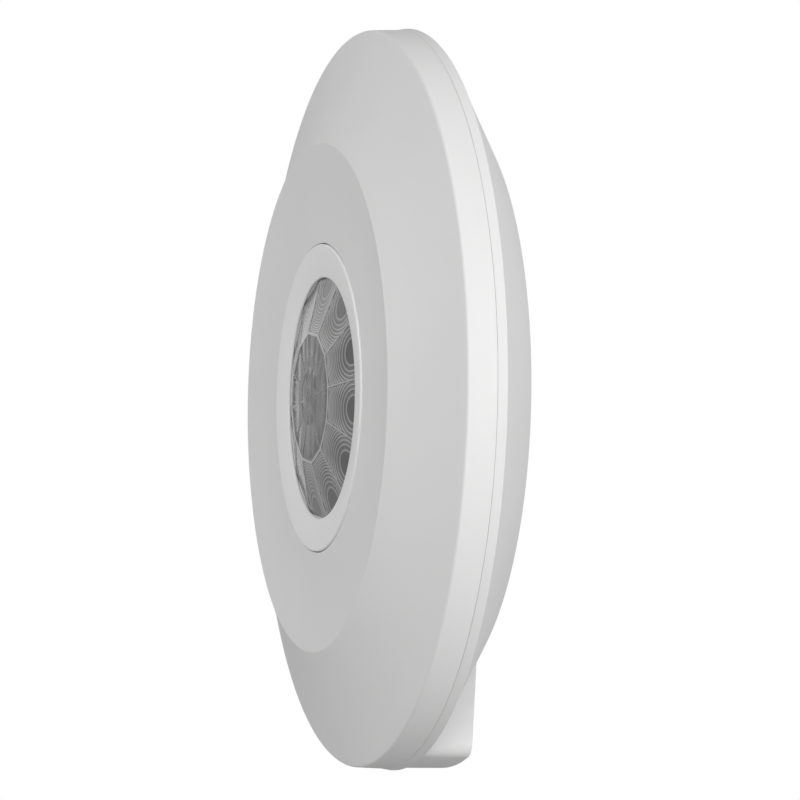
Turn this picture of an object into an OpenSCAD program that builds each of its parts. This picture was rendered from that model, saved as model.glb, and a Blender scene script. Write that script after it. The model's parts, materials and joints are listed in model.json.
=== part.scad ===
// Slim round motion sensor for a wall or ceiling: a fixed base that holds the
// mains terminals, and a plug-in head that holds the lens and the electronics.
// The mounting plane is y = 0, the lens looks along -Y and the cable spout points
// down, -Z. Every module is drawn in a plan frame, where x is across, y is up and
// z is the height out of the mounting plane, and facing_out() turns it upright.

/* [Head] */
// Radius of the front cover's rim at its front edge
rim_r = 57.55; // [57.2:0.05:57.9]
// Height of the rim's front edge above the mounting plane
rim_h = 14.1; // [13.9:0.1:14.4]
// Height of the ridge around the dished face
ridge_h = 21.2; // [21.1:0.1:21.6]
// Radius of the ridge around the dished face
ridge_r = 39.7; // [39:0.1:40.5]
// Hollow of the sloping face between the rim and the ridge
face_sag = 0.36; // [0.2:0.02:0.4]
// Thickness of the front cover's wall
cover_wall = 2; // [1.8:0.1:2.1]
// Height of the head's rear face
head_h = 8; // [8:0.05:8.1]
// Height of the rear cover's rim, which is the parting line
parting_h = 9.5; // [9.4:0.05:9.5]

/* [Lens] */
// Radius of the ring around the lens
ring_r = 24; // [23.8:0.05:24.05]
// Radius of the opening that shows the lens
opening_r = 18.8; // [18.6:0.1:19]
// Number of facets around the lens
lens_facets = 12; // [12:1:12]
// Corner radius of the lens's inner polygon
crest_r = 10.3; // [10:0.1:10.6]
// Height of the lens's inner polygon
crest_h = 22.04; // [21.9:0.02:22.1]
// Turn of the facets, from the x axis to the first seam
facet_turn = 4.3; // [0:0.1:30]
// Thickness of the lens
lens_t = 0.65; // [0.5:0.05:0.7]

/* [Base] */
// Radius of the base at the mounting plane
base_r = 44.4; // [44:0.1:44.8]
// Radius of the base at the head
skirt_r = 57.5; // [57:0.1:57.6]
// Depth of the base
base_h = 7.9; // [7.8:0.05:7.9]
// Thickness of the base's conical wall, measured across
base_wall = 2.6; // [2.4:0.1:2.7]
// Inner radius of the socket that holds the head
socket_r = 42.5; // [42.5:0.05:42.55]
// Thickness of the base's floor
base_floor = 2; // [1.9:0.1:2]
// Distance between the two mounting slots
slot_pitch = 60; // [58:0.5:62]
// Half of a mounting slot's width
slot_r = 2.2; // [2:0.1:2.4]
// End-to-end length of a mounting slot
slot_len = 9; // [8:0.5:10]
// Half-width of the cable spout where it leaves the base
spout_root = 16.2; // [15:0.1:17]
// Half-width of the cable spout at its end
spout_tip = 13.3; // [12.5:0.1:14]
// Corner radius at the end of the cable spout
spout_corner = 2.6; // [2.2:0.1:3]
// Radius of the spout's end face about the sensor's axis
spout_r = 57.6; // [57:0.1:58]

/* [Electronics] */
// Height of the circuit board's rear face
board_h = 12; // [12:0.02:12.04]
// Thickness of the circuit board
board_t = 1.6; // [1.5:0.05:1.6]
// Distance of the setting knobs from the sensor's axis
knob_ring = 49.5; // [49.3:0.1:49.7]
// Angle between neighbouring setting knobs
knob_step = 22; // [20:1:24]
// Pitch of the three terminals
pole_pitch = 11; // [11:0.1:11.2]

/* [Hidden] */
$fn = 96;
eps = 0.01;
cut = 1;

// Front cover
band_r = rim_r + 0.47;           // rear edge of the rear cover's rim
seam_gap = 0.1;                  // open line between the two covers
cover_foot = rim_r + 0.2;
face_slope = (ridge_h - rim_h) / (rim_r - ridge_r);
dish_low = ridge_h - 0.65;       // height of the face at the lens ring
dish_steps = 6;
face_steps = 6;
hole_r = ring_r + 0.15;
inner_face = dish_low - cover_wall + 0.05;
inner_ridge_r = ridge_r - 1;
inner_ridge_h = ridge_h - cover_wall - 0.05;
inner_rim_r = rim_r - cover_wall;
inner_rim_h = inner_ridge_h - (inner_rim_r - inner_ridge_r) * face_slope;
spigot_r = inner_rim_r - 0.1;
spigot_h = parting_h + 1.9;

// Ring and lens
lip_h = 20.2;                    // front of the ring's inner lip
lip_t = 0.33;
ring_top = dish_low + 0.28;
flange_h = inner_face - 0.1;
barrel_r = opening_r + 1.9;
crest_slope = 0.2635;            // fall of the lens facets along a seam
lens_foot = 19.2;
flange_top = 19.4;
flange_t = 0.6;

// Rear cover
plate_t = 1.6;
well_r = 40;
well_h = 3.6;                    // rear face of the electronics well
well_wall = 1.6;
well_floor = 1.4;
chord_y = -13;                   // straight side of the well
bay_r = 41.2;                    // wall around the terminal bay
bay_roof = 10;                   // rear face of the roof over the terminals
boss_r = 51;
boss_angles = [45, 135, 225, 315];
post_r = 44.3;
post_angles = [22, 158, 270];
knob_angles = [90 + knob_step, 90, 90 - knob_step];
knob_hole = 3.3;

// Circuit board
board_front = board_h + board_t;
board_r = 47;
tab_r = 52.5;
blade_y = -16.5;
blade_w = 3;
blade_t = 0.8;

// Terminals
block_w = 33;
block_low = -31;
block_high = -13.9;
block_top = 9.2;
screw_y = -25.5;
clamp_y = -37;
clamp_x = 9.5;
entry = [-26, -21];
entry_r = 5.5;

// Relay, drawn from its lower left corner on the board's rear side
relay_at = [-29, 6.5];
relay_size = [20, 15, 6.6];
relay_pivot = [13.45, 8.3];      // axis that the armature tips about

function unit(v) = v / norm(v);

// Points of a corner b between a and c, rounded to radius rad
function corner(a, b, c, rad, n = 6) =
    rad <= 0 ? [b] :
    let (u = unit(a - b),
         v = unit(c - b),
         half = acos(u * v) / 2,
         o = b + unit(u + v) * rad / sin(half),
         p = b + u * rad / tan(half) - o,
         q = b + v * rad / tan(half) - o,
         start = atan2(p.y, p.x),
         sweep = (atan2(q.y, q.x) - start + 540) % 360 - 180)
    [for (i = [0 : n]) o + rad * [cos(start + sweep * i / n), sin(start + sweep * i / n)]];

// Outline through points [x, y, corner radius]
function outline(pts) =
    let (n = len(pts), xy = [for (p = pts) [p.x, p.y]])
    [for (i = [0 : n - 1])
        each corner(xy[(i + n - 1) % n], xy[i], xy[(i + 1) % n], pts[i].z)];

function arc(r, a0, a1, n) =
    [for (i = [0 : n]) r * [cos(a0 + (a1 - a0) * i / n), sin(a0 + (a1 - a0) * i / n)]];

function polar(r, a) = [r * cos(a), r * sin(a)];

// Turns the plan frame upright, so that plan z points along -Y
module facing_out() {
    rotate([90, 0, 0]) children();
}

module turned(pts) {
    rotate_extrude() polygon(pts);
}

module at_angles(r, angles) {
    for (a = angles) translate(polar(r, a)) children();
}

// Straight prism between two heights
module slab(low, high) {
    translate([0, 0, low]) linear_extrude(high - low) children();
}

module rod(low, high, r) {
    translate([0, 0, low]) cylinder(h = high - low, r = r);
}

// Block with a low corner and a size
module block(at, size) {
    translate(at) cube(size);
}

// Part of a disc above or below a straight line across it
module disc_part(r, y0, above) {
    intersection() {
        circle(r);
        translate([-100, above ? y0 : y0 - 200]) square(200);
    }
}

// Screw that points into the base or head along plan -z or +z
module screw(low, high, r, head_r, head_t, up) {
    difference() {
        union() {
            rod(up ? low - head_t / 2 : low, up ? high : high + head_t / 2, r);
            if (up) rod(low - head_t, low, head_r);
            else rod(high, high + head_t, head_r);
        }
        translate([-head_r * 0.7, -0.3, up ? low - head_t - cut : high + head_t - 0.5])
            cube([head_r * 1.4, 0.6, cut + 0.5]);
        translate([-0.3, -head_r * 0.7, up ? low - head_t - cut : high + head_t - 0.5])
            cube([0.6, head_r * 1.4, cut + 0.5]);
    }
}

module poles() {
    for (i = [-1 : 1]) translate([i * pole_pitch, 0]) children();
}

// Closed prism of the lens's polygon, from radius r1 to the crest's radius
module facet_cone(low, high) {
    r1 = crest_r + (high - low) / crest_slope;
    translate([0, 0, low]) rotate(facet_turn)
        cylinder(h = high - low, r1 = r1, r2 = crest_r, $fn = lens_facets);
}

module front_cover() {
    dish = [for (i = [1 : dish_steps])
        let (t = 1 - i / dish_steps) [hole_r + (ridge_r - hole_r) * t, dish_low + 0.65 * t * t]];
    foot = [cover_foot, parting_h + seam_gap];
    rim = [rim_r, rim_h];
    ridge = [ridge_r, ridge_h];
    face = [for (i = [1 : face_steps - 1])
        let (t = i / face_steps) rim + (ridge - rim) * t - [0, 4 * face_sag * t * (1 - t)]];
    profile = concat(
        [foot], corner(foot, rim, face[0], 0.5), face,
        corner(face[face_steps - 2], ridge, dish[0], 0.3), dish,
        [[hole_r, inner_face], [inner_ridge_r, inner_ridge_h],
         [inner_rim_r, inner_rim_h], [inner_rim_r, parting_h + seam_gap]]);
    color("white") facing_out() difference() {
        union() {
            turned(profile);
            at_angles(boss_r, boss_angles) rod(spigot_h - 0.7, rim_h + 0.5, 2.8);
        }
        at_angles(boss_r, boss_angles) rod(spigot_h - cut, rim_h - 0.1, 1.3);
    }
}

module lens_ring() {
    color("white") facing_out() turned(outline([
        [opening_r, lip_h - lip_t, 0],
        [opening_r, lip_h, 0.1],
        [ring_r, ring_top, 0.3],
        [ring_r, flange_h, 0],
        [ring_r + 2.5, flange_h, 0],
        [ring_r + 2.5, flange_h - 1.2, 0],
        [ring_r - 1.4, flange_h - 1.2, 0],
        [ring_r - 1.4, flange_h - 1.9, 0],
        [barrel_r, flange_h - 1.9, 0],
        [barrel_r, lip_h - lip_t, 0]]));
}

module fresnel_lens() {
    color("lightgrey") facing_out() difference() {
        intersection() {
            union() {
                rod(flange_top - flange_t, flange_top, barrel_r - 0.2);
                facet_cone(lens_foot, crest_h);
            }
            rod(0, crest_h + cut, barrel_r - 0.2);
        }
        intersection() {
            facet_cone(flange_top - flange_t - 0.3, crest_h - lens_t);
            rod(0, crest_h, opening_r - 1.4);
        }
    }
}

module lens_retainer() {
    top = flange_top - flange_t - 0.05;
    color("gainsboro") facing_out() turned([
        [opening_r - 1.2, top - 1.35], [opening_r - 1.2, top], [barrel_r - 0.1, top],
        [barrel_r - 0.1, top - 1.95], [opening_r + 0.6, top - 1.95],
        [opening_r + 0.2, top - 1.35]]);
}

module rear_cover() {
    rim = outline([
        [well_r - 0.8, head_h, 0],
        [band_r, head_h, 0.12],
        [cover_foot, parting_h, 0],
        [spigot_r, parting_h, 0],
        [spigot_r, spigot_h, 0],
        [spigot_r - 1.4, spigot_h, 0],
        [spigot_r - 1.4, head_h + plate_t, 0],
        [well_r - 0.8, head_h + plate_t, 0]]);
    color("white") facing_out() difference() {
        union() {
            turned(rim);
            slab(well_h, head_h + plate_t) disc_part(well_r, chord_y, true);
            slab(head_h, bay_roof + plate_t) disc_part(bay_r, chord_y + plate_t, false);
            at_angles(boss_r, boss_angles) rod(head_h, head_h + 2.5, 3.7);
            at_angles(post_r, post_angles) rod(head_h + 0.5, board_h, 2.4);
            clip_legs();
        }
        slab(well_h + well_floor, bay_roof + plate_t + cut)
            disc_part(well_r - well_wall, chord_y + plate_t, true);
        slab(0, bay_roof) disc_part(bay_r - 1.8, chord_y, false);
        at_angles(boss_r, boss_angles) {
            rod(head_h - cut, head_h + 1.3, 3.1);
            rod(head_h, board_h, 1.6);
        }
        at_angles(post_r, post_angles) rod(head_h + 0.8, board_h + cut, 1.2);
        at_angles(knob_ring, knob_angles) rod(head_h - cut, head_h + plate_t + cut, knob_hole);
        poles() block([-blade_w / 2 - 0.3, blade_y - 0.7, bay_roof - cut],
                      [blade_w + 0.6, 1.4, plate_t + 2 * cut]);
    }
}

// Two spring legs that hold the head in the base's socket
module clip_legs() {
    for (side = [0, 180]) rotate(side) {
        block([40.8, -4, well_h - 0.4], [1.3, 8, head_h - well_h + 0.9]);
        block([42, -2, well_h - 0.2], [0.38, 4, 1]);
    }
}

module cover_screws() {
    color("silver") facing_out()
        at_angles(boss_r, boss_angles) screw(head_h + 1.3, rim_h - 0.3, 1.25, 2.7, 1.1, true);
}

module main_board() {
    color("seagreen") facing_out() difference() {
        slab(board_h, board_front) union() {
            circle(board_r);
            polygon(concat([[0, 0]], arc(tab_r, 60, 120, 24)));
        }
        at_angles(post_r, post_angles) rod(board_h - cut, board_front + cut, 1.6);
        at_angles(2.54, [45, 135, 270]) rod(board_h - cut, board_front + cut, 0.45);
        poles() block([-blade_w / 2 - 0.15, blade_y - 0.55, board_h - cut],
                      [blade_w + 0.3, 1.1, board_t + 2 * cut]);
    }
}

module board_screws() {
    color("silver") facing_out()
        at_angles(post_r, post_angles) screw(head_h + 1.1, board_front, 1.1, 2.3, 1.2, false);
}

module pyro_can() {
    foot = board_front + 0.05;
    color("goldenrod") facing_out() difference() {
        turned(outline([
            [3.75, foot, 0], [4.6, foot, 0], [4.6, foot + 0.5, 0], [4.1, foot + 0.5, 0.2],
            [4.1, foot + 4.1, 0.4], [0, foot + 4.1, 0], [0, foot + 3.8, 0],
            [3.75, foot + 3.8, 0.2]]));
        block([-2, -1.5, foot + 3], [4, 3, 2]);
    }
}

module pyro_window() {
    color("dimgray") facing_out()
        block([-2.3, -1.8, board_front + 3.4], [4.6, 3.6, 0.4]);
}

module pyro_header() {
    color("khaki") facing_out() {
        rod(board_front + 0.1, board_front + 1, 3.65);
        at_angles(2.54, [45, 135, 270]) rod(board_h - 0.8, board_front + 0.5, 0.3);
    }
}

// Round part with a domed tip, such as a small lamp
module dome_part(r, height) {
    rod(board_front, board_front + height - r, r);
    translate([0, 0, board_front + height - r]) sphere(r);
}

module light_sensor() {
    color("lightyellow") facing_out() translate([9, 5]) dome_part(1.5, 3);
}

module status_led() {
    color("tomato") facing_out() translate([-9, 5]) dome_part(1.5, 3.2);
}

module control_ic() {
    at = [-27, -12];
    color("dimgray") facing_out() translate(at) {
        block([-5, -2, board_front + 0.15], [10, 4, 1.5]);
        for (i = [0 : 7], side = [0, 180]) rotate(side)
            block([-4.65 + i * 1.27, 1.9, board_front], [0.4, 1.1, 0.3]);
    }
}

module chip_parts() {
    spots = [[-30, 3], [-30, 8], [-26, 14], [-20, 20], [27, 12], [30, 6], [30, 0], [27, -10],
             [20, -20], [12, -27], [-12, -27], [0, 29]];
    color("tan") facing_out()
        for (s = spots) translate(s) rotate(atan2(s.y, s.x) + 90)
            block([-1, -0.6, board_front], [2, 1.2, 0.6]);
}

// Relay frame: x and y along the board, z away from the board, towards the base
module in_relay() {
    facing_out() translate([relay_at.x, relay_at.y, board_h]) mirror([0, 0, 1]) children();
}

module relay_base() {
    color("dimgray") in_relay()
        block([0.9, 0.9, 0.05], [relay_size.x - 1.8, relay_size.y - 1.8, 0.7]);
}

module relay_case() {
    color("dodgerblue") in_relay() difference() {
        block([0, 0, 0.05], relay_size);
        block([0.8, 0.8, -cut], [relay_size.x - 1.6, relay_size.y - 1.6, relay_size.z + 0.25]);
    }
}

module relay_coil() {
    color("darkorange") in_relay() translate([0, 4.6, 3.3]) rotate([0, 90, 0]) difference() {
        union() {
            rod(3, 11.4, 2);
            rod(2.4, 3.1, 2.4);
            rod(11.3, 12, 2.4);
        }
        rod(2, 13, 1.05);
    }
}

module relay_yoke() {
    color("silver") in_relay() union() {
        block([1.2, 1.8, 0.9], [1.1, 7, 4.8]);
        block([1.2, 7.8, 0.9], [11.6, 1, 4.8]);
        translate([0, 4.6, 3.3]) rotate([0, 90, 0]) rod(2, 12.3, 1);
    }
}

module relay_armature() {
    color("silver") in_relay() union() {
        block([13, 2, 1.2], [0.9, 8.4, 4.2]);
        translate(relay_pivot) rod(1.2, 5.4, 0.6);
        block([13.8, 3.4, 2.2], [0.3, 9.6, 2.2]);
        translate([13.9, 12, 3.3]) rotate([0, 90, 0]) rod(0, 0.6, 0.8);
    }
}

module relay_contact() {
    color("gold") in_relay() union() {
        block([15.4, 10.6, 0.9], [0.5, 2.9, 4.4]);
        translate([14.9, 12, 3.3]) rotate([0, 90, 0]) rod(0, 0.6, 0.8);
    }
}

module film_capacitor() {
    color("gold") facing_out()
        slab(board_h - 6.2, board_h) polygon(outline([
            [9.5, 18, 0.8], [24.5, 18, 0.8], [24.5, 26, 0.8], [9.5, 26, 0.8]]));
}

module smoothing_capacitor() {
    color("midnightblue") facing_out()
        translate([11.5, 6, board_h - 3.2]) rotate([0, 90, 0]) turned(outline([
            [0, 0, 0], [3.1, 0, 0.3], [3.1, 1.2, 0], [2.85, 1.5, 0], [3.1, 1.8, 0],
            [3.1, 11, 0.3], [0, 11, 0]]));
}

module varistor() {
    color("royalblue") facing_out() translate([0, 30, board_h - 3.6]) turned(outline([
        [0, 0, 0], [4.2, 0, 0.9], [4.2, 3.4, 0.9], [0, 3.4, 0]]));
}

module fuse_resistor() {
    color("slategray") facing_out() translate([-3.5, 6, board_h - 1.8]) rotate([-90, 0, 0])
        turned(outline([
            [0, 0, 0], [1.6, 0, 0.4], [1.6, 1.8, 0.3], [1.3, 2.1, 0], [1.3, 5.9, 0],
            [1.6, 6.2, 0.3], [1.6, 8, 0.4], [0, 8, 0]]));
}

module bridge_rectifier() {
    color("dimgray") facing_out() {
        block([0.8, 7.5, board_h - 2.6], [6.4, 5, 2.4]);
        for (x = [1.6, 5.6], y = [6.9, 12.4]) block([x, y, board_h - 0.4], [0.8, 0.7, 0.3]);
    }
}

module choke() {
    color("sienna") facing_out() translate([-18, -3, board_h - 6]) turned([
        [0, 0], [3.6, 0], [3.6, 0.9], [2.9, 0.9], [2.9, 5], [3.6, 5], [3.6, 5.9], [0, 5.9]]);
}

module trimmers() {
    color("cornflowerblue") facing_out()
        for (a = knob_angles) translate(polar(knob_ring, a)) rotate(a) difference() {
            block([-3, -3, board_h - 1.8], [6, 6, 1.8]);
            rod(board_h - 3, board_h - 0.3, 1.3);
        }
}

// Setting knob with a screwdriver cross and a pointer, turned in the rear cover
module knob(a) {
    facing_out() translate(polar(knob_ring, a)) rotate(a) difference() {
        union() {
            rod(head_h + 0.1, head_h + plate_t + 0.05, knob_hole - 0.05);
            rod(head_h + plate_t + 0.04, head_h + plate_t + 0.4, knob_hole + 0.5);
            rod(head_h + plate_t + 0.3, board_h - 0.45, 1.25);
        }
        block([-1.9, -0.4, head_h - cut], [4.9, 0.8, cut + 0.9]);
        block([-0.4, -1.9, head_h - cut], [0.8, 3.8, cut + 0.9]);
    }
}

module time_knob() {
    color("darkorange") knob(knob_angles[0]);
}

module lux_knob() {
    color("darkorange") knob(knob_angles[1]);
}

module range_knob() {
    color("darkorange") knob(knob_angles[2]);
}

module contact_blades() {
    color("gold") facing_out() poles()
        block([-blade_w / 2, blade_y - blade_t / 2, 5.2], [blade_w, blade_t, board_front - 4.6]);
}

// Right-hand side of the cable spout's plan, grown by g
function spout_side(g) =
    let (root = [spout_root + g, -41.6],
         end_r = spout_r + g,
         tip = [spout_tip + g, -sqrt(end_r ^ 2 - (spout_tip + g) ^ 2)])
    concat([[root.x, -36], root], corner(root, tip, polar(end_r, 279), spout_corner + g));

// Plan of the cable spout, grown by g
function spout_plan(g) =
    let (right = spout_side(g), n = len(right))
    concat(right, arc(spout_r + g, 279, 261, 8),
           [for (i = [1 : n]) [-right[n - i].x, right[n - i].y]]);

module base() {
    pocket_wall = 1.9;
    socket_wall = 1.6;
    foot_r = base_r + (skirt_r - base_r) * base_floor / base_h - base_wall;
    shell = [[0, 0], [base_r, 0], [skirt_r, base_h], [skirt_r - base_wall, base_h],
             [foot_r, base_floor], [socket_r + socket_wall, base_floor],
             [socket_r + socket_wall, base_h], [0, base_h]];
    color("white") facing_out() difference() {
        union() {
            difference() {
                union() {
                    turned(shell);
                    slab(0, base_h) polygon(spout_plan(0));
                }
                rod(base_floor, base_h + cut, socket_r);
                slab(base_floor, base_h + cut) polygon(spout_plan(-pocket_wall));
            }
            for (side = [-1, 1]) translate([side * clamp_x, clamp_y])
                rod(base_floor - eps, 5, 2.7);
        }
        for (side = [-1, 1]) translate([side * slot_pitch / 2, 0]) {
            slot(-cut, base_floor + cut, slot_r, slot_len);
            slot(1.1, base_floor + cut, 4.2, slot_len + 4);
        }
        for (side = [-1, 1]) translate([side * clamp_x, clamp_y]) rod(2.4, 6, 1.3);
        translate(entry) rod(-cut, base_floor + cut, entry_r);
        for (side = [0, 180]) rotate(side)
            block([42, -3, well_h - 0.4], [1.3, 6, 1.4]);
        for (x = [-6, 5.4]) block([x, -56.4, base_floor], [0.6, 2, base_h]);
    }
}

// Slotted hole along x between two heights
module slot(low, high, r, length) {
    reach = length / 2 - r;
    block([-reach, -r, low], [2 * reach, 2 * r, high - low]);
    for (side = [-1, 1]) translate([side * reach, 0]) rod(low, high, r);
}

module terminal_block() {
    color("dimgray") facing_out() difference() {
        block([-block_w / 2, block_low, base_floor],
              [block_w, block_high - block_low, block_top - base_floor]);
        poles() {
            block([-3.5, -30, 3], [7, 8.4, 4.6]);
            translate([0, screw_y]) rod(7, block_top + cut, 2.5);
            translate([0, block_low + 2, 5]) rotate([90, 0, 0]) rod(0, 3, 2.1);
            block([-2.5, -18.2, 3], [5, 3.4, block_top]);
            block([-1.5, -22, 3], [3, 4, 1]);
        }
    }
}

module terminal_cages() {
    color("silver") facing_out() poles() difference() {
        block([-3.3, -29.6, 3.05], [6.6, 7.4, 4.4]);
        block([-2.4, -31, 3.95], [4.8, 10, 2.6]);
        translate([0, screw_y]) rod(6, 8, 1.6);
    }
}

module terminal_screws() {
    color("silver") facing_out() poles() translate([0, screw_y])
        screw(5.2, 7.65, 1.5, 2.2, 1.35, false);
}

module socket_contacts() {
    color("gold") facing_out() poles() difference() {
        union() {
            block([-2.2, blade_y - 1.4, 3.05], [4.4, 2.8, 5.4]);
            block([-1.2, -21.9, 3.05], [2.4, 4.2, 0.6]);
        }
        block([-blade_w / 2 - 0.1, blade_y - 0.5, 4.6], [blade_w + 0.2, 1, 5]);
    }
}

module cable_clamp() {
    color("gainsboro") facing_out() difference() {
        slab(5.05, 7.25) polygon(outline([
            [-13, clamp_y - 2.5, 1.2], [13, clamp_y - 2.5, 1.2],
            [13, clamp_y + 2.5, 1.2], [-13, clamp_y + 2.5, 1.2]]));
        for (side = [-1, 1]) translate([side * clamp_x, clamp_y]) {
            rod(4, 8, 1.6);
            rod(6.35, 8, 2.7);
        }
        translate([0, clamp_y - 4, 3.1]) rotate([-90, 0, 0]) rod(0, 8, 3.4);
    }
}

module clamp_screws() {
    color("silver") facing_out() for (side = [-1, 1])
        translate([side * clamp_x, clamp_y]) screw(2.7, 6.4, 1.2, 2.4, 1.3, false);
}

module cable_grommet() {
    color("dimgray") facing_out() translate(entry) difference() {
        union() {
            rod(0.2, base_floor + eps, entry_r - 0.05);
            rod(base_floor, base_floor + 1, entry_r + 1.6);
        }
        rod(-cut, 1.2, 3);
        rod(1.7, base_floor + 2, 3);
    }
}

front_cover();
lens_ring();
fresnel_lens();
lens_retainer();
rear_cover();
cover_screws();
main_board();
board_screws();
pyro_can();
pyro_window();
pyro_header();
light_sensor();
status_led();
control_ic();
chip_parts();
relay_base();
relay_case();
relay_coil();
relay_yoke();
relay_armature();
relay_contact();
film_capacitor();
smoothing_capacitor();
varistor();
fuse_resistor();
bridge_rectifier();
choke();
trimmers();
time_knob();
lux_knob();
range_knob();
contact_blades();
base();
terminal_block();
terminal_cages();
terminal_screws();
socket_contacts();
cable_clamp();
clamp_screws();
cable_grommet();
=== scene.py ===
"""Looks of the slim round motion sensor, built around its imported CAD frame.

Shapes are drawn in the part's plan frame in millimetres: x is across, y is up and h is the
height out of the mounting plane. to_world() turns that into metres in the row frame.
"""
import json
import math

import bmesh
import bpy
from mathutils import Matrix, Vector


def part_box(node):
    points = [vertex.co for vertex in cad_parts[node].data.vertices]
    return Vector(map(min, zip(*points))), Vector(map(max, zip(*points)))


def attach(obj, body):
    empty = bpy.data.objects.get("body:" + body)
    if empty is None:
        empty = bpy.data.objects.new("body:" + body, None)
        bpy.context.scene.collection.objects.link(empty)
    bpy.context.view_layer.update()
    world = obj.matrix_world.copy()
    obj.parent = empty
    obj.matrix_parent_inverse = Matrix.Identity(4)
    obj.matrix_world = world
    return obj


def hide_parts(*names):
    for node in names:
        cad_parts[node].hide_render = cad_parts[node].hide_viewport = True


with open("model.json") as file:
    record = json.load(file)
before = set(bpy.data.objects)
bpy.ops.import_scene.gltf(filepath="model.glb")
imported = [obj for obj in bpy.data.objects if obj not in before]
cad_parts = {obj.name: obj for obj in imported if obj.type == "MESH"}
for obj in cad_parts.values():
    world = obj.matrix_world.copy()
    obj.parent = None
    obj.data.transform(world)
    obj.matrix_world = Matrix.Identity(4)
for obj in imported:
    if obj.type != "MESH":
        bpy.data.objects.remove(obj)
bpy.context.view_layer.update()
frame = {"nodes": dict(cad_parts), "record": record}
MM = 0.001
TURN_STEPS = 360          # steps round a turned shell


# ---------------------------------------------------------------- sizes, in millimetres
def height_of(node):
    """Height of a node's front above the mounting plane."""
    return -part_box(node)[0].y / MM


HEAD_H = -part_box("time_knob")[1].y / MM - 0.1   # rear face of the head's rim
CREST_H = height_of("fresnel_lens")
RIDGE_H = height_of("front_cover")
RIDGE_R = 39.7
RIM_R, RIM_H = 57.55, 14.1
BAND_R = RIM_R + 0.47                        # rear edge of the head's rim
FOOT_R = RIM_R + 0.2                         # the rim on both sides of the parting line
FACE_SAG = 0.36                              # hollow of the face between rim and ridge
PARTING_H, SEAM_GAP = 9.5, 0.05
WALL = 2.0
DISH_RISE, DISH_SAG = 0.65, 0.45             # of the dished face up to the ridge
DISH_H = RIDGE_H - DISH_RISE
HOLE_R = 24.15
RING_R, RING_H = 24.0, DISH_H + 0.28
OPENING_R, LIP_H = 18.8, 20.2
BOSS_RING, BOSS_ANGLES = 51.0, (45, 135, 225, 315)    # screws that join the covers
POST_RING, POST_ANGLES = 44.3, (22, 158, 270)         # screws that hold the board
KNOB_RING, KNOB_ANGLES = 49.5, (112, 90, 68)
BASE_R, SKIRT_R, BASE_H = 44.4, 57.5, height_of("base")
BASE_WALL, SOCKET_R, SOCKET_WALL = 2.6, 42.5, 1.6
WELL_R, WELL_H, CHORD_Y = 40.0, 3.6, -13.0


# ---------------------------------------------------------------- mesh building
def to_world(x, y, h):
    return Vector((x, -h, y)) * MM


def polar(r, degrees):
    return r * math.cos(math.radians(degrees)), r * math.sin(math.radians(degrees))


def rounded(points, steps=6, closed=True):
    """Points (a, b, radius) of an outline, with each corner replaced by an arc."""
    out = []
    count = len(points)
    for i, (a, b, radius) in enumerate(points):
        here = Vector((a, b))
        if radius <= 0 or (not closed and i in (0, count - 1)):
            out.append((a, b))
            continue
        u = (Vector(points[i - 1][:2]) - here).normalized()
        v = (Vector(points[(i + 1) % count][:2]) - here).normalized()
        half = u.angle(v) / 2
        centre = here + (u + v).normalized() * radius / math.sin(half)
        p = here + u * radius / math.tan(half) - centre
        q = here + v * radius / math.tan(half) - centre
        start = math.atan2(p.y, p.x)
        sweep = (math.atan2(q.y, q.x) - start + 3 * math.pi) % (2 * math.pi) - math.pi
        for k in range(steps + 1):
            at = start + sweep * k / steps
            out.append((centre.x + radius * math.cos(at), centre.y + radius * math.sin(at)))
    return out


def revolve(bm, profile):
    """Adds the closed profile (r, h) turned about the sensor's axis. r = 0 becomes a pole."""
    rings = []
    for r, h in profile:
        count = 1 if r < 1e-6 else TURN_STEPS
        ring = []
        for i in range(count):
            x, y = polar(r, 360 * i / TURN_STEPS)
            ring.append(bm.verts.new(to_world(x, y, h)))
        rings.append(ring)
    for low, high in zip(rings, rings[1:] + rings[:1]):
        for i in range(TURN_STEPS):
            j = (i + 1) % TURN_STEPS
            corners = [low[i % len(low)], low[j % len(low)],
                       high[j % len(high)], high[i % len(high)]]
            corners = list(dict.fromkeys(corners))
            if len(corners) > 2:
                bm.faces.new(corners)


def loft(bm, loops):
    """Adds a closed skin through loops of (x, y, h) points of equal length, capped at both ends."""
    rings = [[bm.verts.new(to_world(*p)) for p in loop] for loop in loops]
    count = len(rings[0])
    for low, high in zip(rings, rings[1:]):
        for i in range(count):
            j = (i + 1) % count
            bm.faces.new((low[i], low[j], high[j], high[i]))
    bm.faces.new(rings[0])
    bm.faces.new(rings[-1])


def grown(outline, amount):
    """The outline moved outwards by amount, for an anticlockwise outline of (x, y) points."""
    out = []
    count = len(outline)
    for i in range(count):
        a, b, c = (Vector(outline[(i + k) % count]) for k in (-1, 0, 1))
        n1 = Vector(((b - a).y, -(b - a).x)).normalized()
        n2 = Vector(((c - b).y, -(c - b).x)).normalized()
        mid = n1 + n2
        out.append(tuple(b + mid * amount / max(mid.dot(n1), 0.5)))
    return out


def edge_steps(radius, steps=4):
    """(inset, rise) pairs of a quarter round, from the flat face to the wall."""
    return [(radius * (1 - math.sin(math.pi / 2 * k / steps)),
             radius * (1 - math.cos(math.pi / 2 * k / steps))) for k in range(steps + 1)]


def prism(bm, outline, low, high, low_round=0.0, high_round=0.0):
    """Adds a straight prism with rounded end edges."""
    loops = []
    for inset, rise in (edge_steps(low_round) if low_round else [(0, 0)]):
        loops.append([(x, y, low + rise) for x, y in grown(outline, -inset)])
    for inset, rise in reversed(edge_steps(high_round) if high_round else [(0, 0)]):
        loops.append([(x, y, high - rise) for x, y in grown(outline, -inset)])
    loft(bm, loops)


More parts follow.
